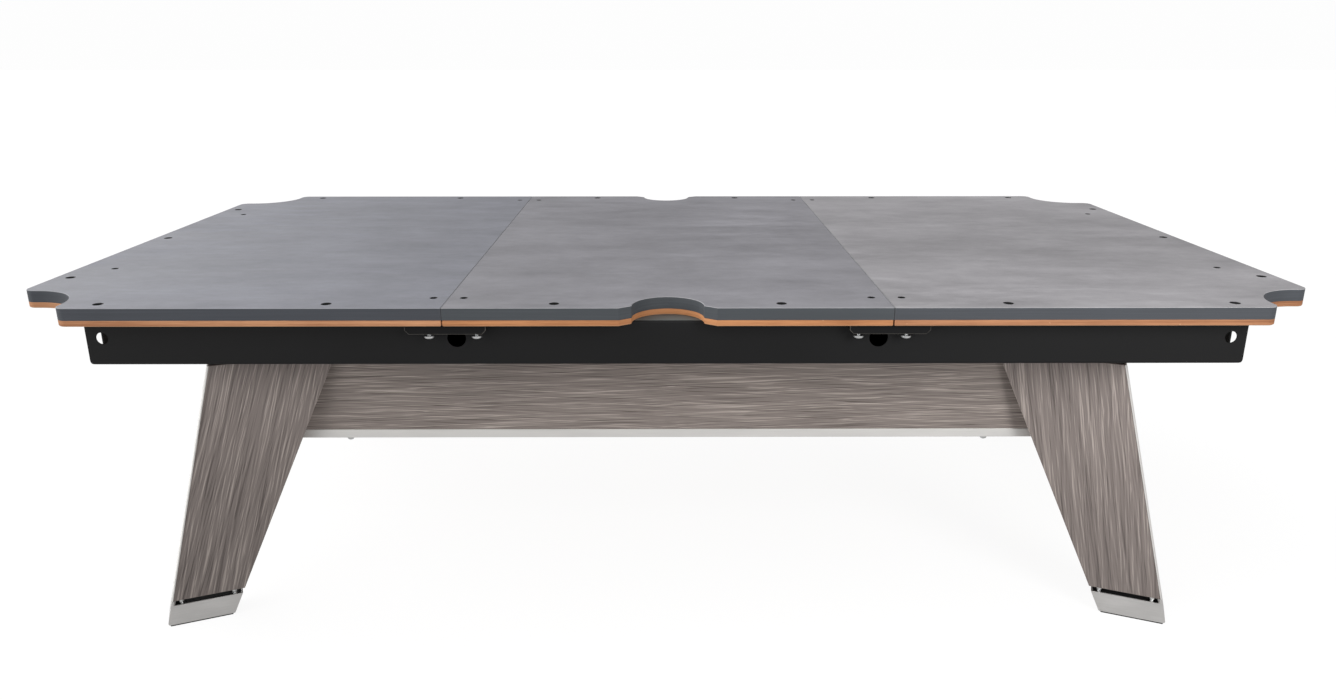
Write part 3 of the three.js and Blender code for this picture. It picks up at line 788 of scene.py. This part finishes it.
def spun(rows, x, y):
    """Closed solid through rings of (height, radius at each angle) about an upright axis at x, y."""
    heights = np.array([h for h, _ in rows])
    radii = np.array([np.broadcast_to(r, BOLT_SIDES) for _, r in rows])
    ring = np.stack([radii * np.cos(bolt_angles), radii * np.sin(bolt_angles),
                     np.repeat(heights[:, None], BOLT_SIDES, 1)], 2).reshape(-1, 3)
    poles = np.array([(0, 0, heights[0]), (0, 0, heights[-1])])
    points = np.concatenate([ring, poles]) + (x, y, 0)
    here = np.arange(BOLT_SIDES)
    onward = (here + 1) % BOLT_SIDES
    top = (len(rows) - 1) * BOLT_SIDES
    bottom_fan = np.stack([onward, here, np.full(BOLT_SIDES, len(ring))], 1)
    top_fan = np.stack([top + here, top + onward, np.full(BOLT_SIDES, len(ring) + 1)], 1)
    patches = [quads_between(len(rows), BOLT_SIDES), bottom_fan, top_fan]
    return points, [(f, points[f][:, :, [0, 2]]) for f in patches]


for side in sides:
    for end in ("left", "right"):
        for place in ("inner", "outer"):
            node = f"jack_bolt_{side}_{end}_{place}"
            low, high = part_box(node)
            radius, pitch = JACK_THREAD
            head_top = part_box(f"seam_bracket_{side}_{end}")[0].z - JACK_SHOWN
            rows = button_rows(low.z, JACK_NOSE_RADIUS, JACK_HEAD_RADIUS, JACK_DOME, JACK_SOCKET)
            rows += [(low.z + JACK_HEAD_EDGE, JACK_HEAD_RADIUS), (head_top, JACK_HEAD_RADIUS - 0.0003)]
            rows += thread_rows(radius, pitch, head_top, high.z - JACK_TIP[0])
            rows += [(high.z, radius - JACK_TIP[1])]
            bolt = spun(rows, (low.x + high.x) / 2, (low.y + high.y) / 2)
            make(f"zinc_jack_{side}_{end}_{place}", bolt, zinc, node, "zinc_steel", node)


# Legs: splayed slabs, 70 mm thick, of board faced and edged with grey driftwood laminate, standing
# turned out from the table's side. A strip of brushed metal covers the outer edge, and a black
# block joins the slab's top to the frame.

FOOT = (-1.128, -0.659)
LEG_TURN = math.radians(23)
LEG_THICK = 0.070
LEG_BOTTOM = 0.0615
LEG_TOP = 0.600
OUTER_SLOPE = 0.2615
INNER_START = 0.1396
INNER_SLOPE = 0.4694
TRIM_THICK = 0.003
TRIM_GAP = 0.0003
LEG_ARRIS = (0.0010, 0.0010)
LEG_CORNER_RADIUS = 0.0012
BLOCK_LOW = 0.6003
BLOCK_HIGH = 0.6339
BLOCK_ENDS = (0.004, 0.030)
BLOCK_INSET = 0.008


def outer_edge(z):
    return OUTER_SLOPE * z


def inner_edge(z):
    return INNER_START + INNER_SLOPE * z


def leg_stood(shape, side, hand):
    """Shape drawn in a leg's own plane, with s from the foot's outer corner, z up and its depth
    behind the face counted down from nought, stood at one of the four feet."""
    cos, sin = math.cos(LEG_TURN), math.sin(LEG_TURN)
    along = np.array([cos * hand, sin * side, 0])
    out = np.array([sin * hand, -cos * side, 0])
    return stood(shape, (FOOT[0] * hand, FOOT[1] * side, 0), along, (0, 0, 1), out)


feet = {"near_left": (1, 1), "near_right": (1, -1), "far_left": (-1, 1), "far_right": (-1, -1)}


def driftwood(name, seed, dark, middle, light):
    """Grey driftwood laminate: two families of fine wavering strands that cross each other at a slight
    slant, each with a few sharper lines, pale or dark. It is painted a little paler higher up, as light
    falling from above."""
    wood = Finish(name, Specular_IOR_Level=0.35)
    along, across = wood.lay()
    z = wood.place()[2]
    wander = wood.noise(along * 7, across * 10, seed) - 0.5
    drift = wood.noise(along * 2, across * 5, seed + 1) - 0.5
    rising = across + along * 0.045 + wander * 0.006
    falling = across - along * 0.040 + wander * 0.005 + drift * 0.012
    broad = wood.noise(along * 1.6, rising * 20, seed + 2) - 0.5
    strands = wood.noise(along * 4, rising * 290, seed + 4, detail=1) - 0.5
    crossing = wood.noise(along * 3.4, falling * 320, seed + 6, detail=1) - 0.5
    pale = wood.noise(along * 2.4, falling * 180, seed + 8).line(0.035)
    pale_where = wood.noise(along * 7, across * 50, seed + 9).slope(0.44, 0.58)
    dusk = wood.noise(along * 2.4, rising * 180, seed + 11).line(0.035)
    dusk_where = wood.noise(along * 7, across * 46, seed + 12).slope(0.44, 0.58)
    tone = 0.5 + broad * 0.25 + strands * 1.3 + crossing * 1.4
    tone = tone + pale * pale_where * 0.42 - dusk * dusk_where * 0.32
    colour = wood.mix(tone.slope(0.5, 1.1), wood.mix(tone.slope(-0.1, 0.5), dark, middle), light)
    # Painted light: the colour grows paler with height, as light from above falls on the upright faces.
    lift = z * 0.70 + 0.80
    wood.feed("Base Color", wood.shaded(colour, lift))
    wood.feed("Roughness", 0.56 + crossing * 0.2)
    wood.bump(tone, 0.0004, 0.6)
    return wood


def brushed_metal(name, tint):
    """Brushed metal: fine scratches along the lay over slow changes of polish."""
    metal = Finish(name, Metallic=1.0)
    along, across = metal.lay()
    scratches = metal.noise(along * 14, across * 1500, 1.0, detail=2)
    polish = metal.noise(along * 6, across * 30, 4.0, detail=2)
    shade = 0.84 + scratches * 0.16 + polish * 0.12
    metal.feed("Base Color", metal.shaded(tint, shade))
    metal.feed("Roughness", 0.42 + scratches * 0.14 + polish * 0.10)
    metal.bump(scratches, 0.0001, 0.4)
    return metal


trim_metal = brushed_metal("trim_metal", rgb(236, 234, 231))
grain_slopes = {"near_left": 0.32, "near_right": 0.19, "far_left": 0.19, "far_right": 0.32}
cover = TRIM_THICK + TRIM_GAP
slab_front = eased([
    (outer_edge(LEG_BOTTOM) + cover, LEG_BOTTOM), (inner_edge(LEG_BOTTOM), LEG_BOTTOM),
    (inner_edge(LEG_TOP), LEG_TOP), (outer_edge(LEG_TOP) + cover, LEG_TOP),
], LEG_CORNER_RADIUS)
strip = plate(eased([
    (outer_edge(LEG_BOTTOM), LEG_BOTTOM), (outer_edge(LEG_BOTTOM) + TRIM_THICK, LEG_BOTTOM),
    (outer_edge(LEG_TOP) + TRIM_THICK, LEG_TOP), (outer_edge(LEG_TOP), LEG_TOP),
], 0.0006), [], -LEG_THICK, 0, (0.0005, 0.0005), math.atan2(1, OUTER_SLOPE))
block_low_s, block_high_s = outer_edge(LEG_TOP) + BLOCK_ENDS[0], inner_edge(LEG_TOP) - BLOCK_ENDS[1]
block = plate(eased([
    (block_low_s, BLOCK_LOW), (block_high_s, BLOCK_LOW),
    (block_high_s, BLOCK_HIGH), (block_low_s, BLOCK_HIGH),
], 0.002), [], BLOCK_INSET - LEG_THICK, -BLOCK_INSET, (0.001, 0.001))

for number, (corner, (side, hand)) in enumerate(feet.items()):
    laminate = driftwood(f"leg_laminate_{corner}", 3.3 + 17 * number, rgb(86, 78, 75), rgb(120, 111, 107),
                         rgb(160, 150, 144))
    slab = plate(slab_front, [], -LEG_THICK, 0, LEG_ARRIS, math.atan2(1, grain_slopes[corner]))
    make(f"laminate_leg_{corner}", leg_stood(slab, side, hand), laminate, "table", "leg_laminate",
         f"leg_{corner}")
    make(f"metal_edge_{corner}", leg_stood(strip, side, hand), trim_metal, "table", "brushed_metal",
         f"leg_trim_{corner}")
    make(f"head_block_{corner}", leg_stood(block, side, hand), steel_black, "table", "black_steel",
         f"leg_block_{corner}")


# Shoes: brushed metal cups that carry on the legs' slant to the floor. The end wall on the outer side
# rises to the wood, the others stop short of it, and the inside is painted black as shade.

SHOE_LOW = 0.003
SHOE_RIM = 0.0505
SHOE_END_RIM = 0.061
SHOE_END_WALL = 0.005
SHOE_WALL = 0.0035
SHOE_FLOOR = 0.042
SHOE_OUTER_RADIUS = 0.007
SHOE_INNER_RADIUS = 0.0025
SHOE_EDGE = 0.0007
SHOE_END_STEPS = 8


def shoe_cup():
    """Cup of level rings. A ring is a rectangle between the slanting end walls at its own height, and
    near the bottom it is drawn in along a quarter round at both ends. The rings go up the outside,
    over the rim, whose height depends on the place round the ring, and down the inside, whose lay
    starts at HIDDEN_LAY."""
    def shares(start, end, steps):
        return np.linspace(start, end, steps, endpoint=False)
    step = SHOE_END_WALL / (inner_edge(SHOE_RIM) - outer_edge(SHOE_RIM))
    front = np.concatenate([[0, step * 0.999, step * 1.001], shares(0.1, 1, 10)])
    far = np.append(1, front[:0:-1])
    level = np.concatenate([front, np.ones(SHOE_END_STEPS), far, np.zeros(SHOE_END_STEPS)])
    back = np.concatenate([np.zeros(len(front)), shares(0, 1, SHOE_END_STEPS),
                           np.ones(len(far)), shares(1, 0, SHOE_END_STEPS)])
    raised = level < step
    rim = np.where(raised, SHOE_END_RIM, SHOE_RIM)

    def ring(height, inset, ground=SHOE_LOW):
        z = np.broadcast_to(height, level.shape)
        radii = (SHOE_OUTER_RADIUS, SHOE_INNER_RADIUS)
        lifts = [np.clip((ground + r - z) / r, 0, 1) for r in radii]
        tucks = [r * (1 - np.sqrt(1 - lift**2)) + inset for r, lift in zip(radii, lifts)]
        s0, s1 = outer_edge(z) + tucks[0], inner_edge(z) - tucks[1]
        depth = inset + back * (LEG_THICK - 2 * inset)
        return np.stack([s0 + level * (s1 - s0), z, -depth], 1)

    rows = [ring(SHOE_LOW, SHOE_EDGE)]
    rounding = np.linspace(0.35, math.pi / 2, 8)
    rows += [ring(SHOE_LOW + SHOE_OUTER_RADIUS * (1 - math.cos(a)), 0) for a in rounding]
    rows += [ring(rim - SHOE_EDGE, 0), ring(rim - SHOE_EDGE * 0.3, SHOE_EDGE * 0.3), ring(rim, SHOE_EDGE)]
    rows += [ring(rim, SHOE_WALL - SHOE_EDGE), ring(rim - SHOE_EDGE, SHOE_WALL)]
    rows += [ring(np.full(level.shape, SHOE_FLOOR), SHOE_WALL)]
    points = np.concatenate(rows)
    count = len(level)
    here = np.arange(count)
    quads = quads_between(len(rows), count)
    outside = (len(rows) - 2) * count
    base, bed = np.array([here[::-1]]), np.array([here + (len(rows) - 1) * count])
    patches = [(f, points[f][:, :, :2]) for f in (quads[:outside], base)]
    return points, patches + [(f, points[f][:, :, :2] + (HIDDEN_LAY, 0)) for f in (quads[outside:], bed)]


def shoe_metal():
    """Brushed cast metal, scratched along the shoe, and painted black inside the rim as shade."""
    metal = Finish("shoe_metal")
    along, up = metal.lay()
    scratches = metal.noise(along * 20, up * 900, 2.0, detail=2)
    polish = metal.noise(along * 14, up * 40, 7.0, detail=2)
    shade = 0.80 + scratches * 0.16 + polish * 0.20
    colour = metal.shaded(rgb(214, 212, 210), shade)
    # Painted shade: the inner walls and floor of the cup are painted near black and not metallic, as the
    # shade under the wood.
    inside = along.slope(HIDDEN_LAY / 2, HIDDEN_LAY / 2 + 1)
    metal.feed("Base Color", metal.mix(inside, colour, rgb(20, 20, 20)))
    metal.feed("Roughness", 0.36 + scratches * 0.12 + polish * 0.10 + inside * 0.4)
    metal.feed("Metallic", 1 - inside)
    metal.bump(scratches, 0.0001, 0.4)
    return metal


def pad_rubber():
    """Black rubber, scuffed grey in places."""
    rubber = Finish("pad_rubber", Specular_IOR_Level=0.3)
    x, y, z = rubber.place()
    scuffs = rubber.noise(x * 60, y * 60, z * 60, detail=3)
    rubber.feed("Base Color", rubber.mix(scuffs, rgb(18, 18, 18), rgb(44, 44, 44)))
    rubber.feed("Roughness", 0.75 + scuffs * 0.15)
    return rubber


metal = shoe_metal()
rubber = pad_rubber()
cup = shoe_cup()
for corner, (side, hand) in feet.items():
    make(f"metal_shoe_{corner}", leg_stood(cup, side, hand), metal, f"shoe_{corner}", "brushed_metal",
         f"shoe_{corner}")


# Foot pads: strips of black rubber under 3 mm thick, glued under the shoes and set in a little from
# their edges.

PAD_HIGH = 0.0027
PAD_SIDE = 0.001
PAD_ENDS = (0.006, 0.0025)
PAD_CORNER_RADIUS = 0.002

pad = plate(eased([
    (PAD_ENDS[0], PAD_SIDE), (INNER_START - PAD_ENDS[1], PAD_SIDE),
    (INNER_START - PAD_ENDS[1], LEG_THICK - PAD_SIDE), (PAD_ENDS[0], LEG_THICK - PAD_SIDE),
], PAD_CORNER_RADIUS), [], 0, PAD_HIGH, (0.0006, 0.0002))
for corner, (side, hand) in feet.items():
    cos, sin = math.cos(LEG_TURN), math.sin(LEG_TURN)
    along, inward = (cos * hand, sin * side, 0), (-sin * hand, cos * side, 0)
    strip_pad = stood(pad, (FOOT[0] * hand, FOOT[1] * side, 0), along, inward, (0, 0, 1))
    make(f"rubber_pad_{corner}", strip_pad, rubber, f"shoe_{corner}", "pad_rubber", f"foot_pad_{corner}")


# Levelling studs: zinc-plated M8 studs, two in each shoe, with a fixed hexagon collar for the spanner
# in the gap under the wood. The thread runs on up into the leg.

STUD_FLATS = 0.010
STUD_THREAD = (0.0040, 0.00125)
COLLAR_LOW = 0.054
COLLAR_HIGH = 0.060
STUD_TIP = 0.0009

for corner in feet:
    for place in ("outer", "inner"):
        node = f"levelling_stud_{place}_{corner}"
        low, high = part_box(node)
        radius, pitch = STUD_THREAD
        rows = [(low.z, radius - STUD_TIP)] + thread_rows(radius, pitch, low.z + STUD_TIP, COLLAR_LOW)
        rows += hex_rows(STUD_FLATS, COLLAR_LOW, COLLAR_HIGH)
        rows += thread_rows(radius, pitch, COLLAR_HIGH, high.z - STUD_TIP) + [(high.z, radius - STUD_TIP)]
        stud = spun(rows, (low.x + high.x) / 2, (low.y + high.y) / 2)
        make(f"zinc_stud_{place}_{corner}", stud, zinc, node, "zinc_steel", node)


# Beams: laminate-faced boards between the legs on both sides, their ends cut to the legs' slanting
# edges, with a strip of brushed metal wrapped round the lower edge.

BEAM_FACE_Y = -0.482
BEAM_THICK = 0.045
BEAM_LOW = 0.4085
BEAM_HIGH = 0.6339
BEAM_TRIM_LOW = 0.3885
TRIM_PROUD = 0.001
BEAM_GAP = 0.0003


def between_legs(front, thick, low, high, arris, grain=0.0):
    """Board between the near legs: its front outline is as wide as the gap between the legs' edges
    there, and behind it both ends lengthen with the legs' turn."""
    def reach(z):
        run = inner_edge(z) + BEAM_GAP - (front - FOOT[1]) * math.sin(LEG_TURN)
        return -FOOT[0] - run / math.cos(LEG_TURN)

    corners = [(-reach(low), low), (reach(low), low), (reach(high), high), (-reach(high), high)]
    outline = eased(corners, 0.001)
    points, patches = plate(outline, [], -thick, 0, arris, grain)
    points[:, 0] -= np.sign(points[:, 0]) * points[:, 2] * math.tan(LEG_TURN)
    return stood((points, patches), (0, front, 0), (1, 0, 0), (0, 0, 1), (0, -1, 0))


beam_finish = driftwood("beam_laminate", 91.0, rgb(88, 80, 76), rgb(124, 115, 110), rgb(166, 156, 149))
beam = between_legs(BEAM_FACE_Y, BEAM_THICK, BEAM_LOW, BEAM_HIGH, (0.0008, 0.0008))
beam_trim = between_legs(BEAM_FACE_Y - TRIM_PROUD, BEAM_THICK + 2 * TRIM_PROUD, BEAM_TRIM_LOW, BEAM_LOW,
                         (0.0006, 0.0006))
for side, turned in zip(sides, (lambda shape: shape, half_turned)):
    make(f"laminate_beam_{side}", turned(beam), beam_finish, "table", "leg_laminate", f"beam_{side}")
    make(f"beam_edge_{side}", turned(beam_trim), trim_metal, "table", "brushed_metal", f"beam_trim_{side}")


# Beam bolts: zinc-plated button-headed bolts with a washer, screwed up into each beam's lower edge
# where a tie board meets the beam.

BEAM_BOLT_X = 0.735
BEAM_BOLT_Y = 0.4695
WASHER = (0.0110, 0.0016)
BUTTON = (0.0088, 0.0080)

bulge = np.linspace(0.06, 1, 9) * math.pi / 2
beam_head = [(BEAM_TRIM_LOW - WASHER[1] - BUTTON[1] * math.cos(a), BUTTON[0] * math.sin(a)) for a in bulge]
beam_head += [
    (BEAM_TRIM_LOW - WASHER[1], WASHER[0] - 0.0003), (BEAM_TRIM_LOW - WASHER[1] + 0.0003, WASHER[0]),
    (BEAM_TRIM_LOW, WASHER[0]), (BEAM_TRIM_LOW + 0.0002, 0.004),
]
for side, y in (("near", -BEAM_BOLT_Y), ("far", BEAM_BOLT_Y)):
    for end, x in (("left", -BEAM_BOLT_X), ("right", BEAM_BOLT_X)):
        make(f"beam_bolt_{side}_{end}", spun(beam_head, x, y), zinc, "table", "zinc_steel")


# Tie boards: planed softwood boards on edge, across the table from beam to beam, which keep the legs
# square.


def tie_wood():
    """Planed softwood: growth bands and fibres along the board."""
    wood = Finish("tie_wood", Specular_IOR_Level=0.3)
    x, y, z = wood.place()
    wander = wood.noise(y * 2, z * 9, x * 2)
    bands = wood.noise(y * 0.8, (z + wander * 0.02) * 90, x * 60, detail=2)
    fibres = wood.noise(y * 14, z * 500, x * 500, detail=2)
    tone = bands * 0.8 + fibres * 0.3 - 0.1
    wood.feed("Base Color", wood.mix(tone, rgb(128, 104, 80), rgb(176, 152, 124)))
    wood.feed("Roughness", 0.6 + bands * 0.15)
    wood.bump(fibres + bands, 0.0003, 0.5)
    return wood


softwood = tie_wood()
for end in ("left", "right"):
    low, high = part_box(f"tie_board_{end}")
    outline = eased([(low.x, low.z), (high.x, low.z), (high.x, high.z), (low.x, high.z)], 0.002)
    board = plate(outline, [], low.y, high.y, (0.001, 0.001))
    board = stood(board, (0, 0, 0), (1, 0, 0), (0, 0, 1), (0, 1, 0))
    make(f"tie_plank_{end}", board, softwood, "table", "tie_wood", f"tie_board_{end}")
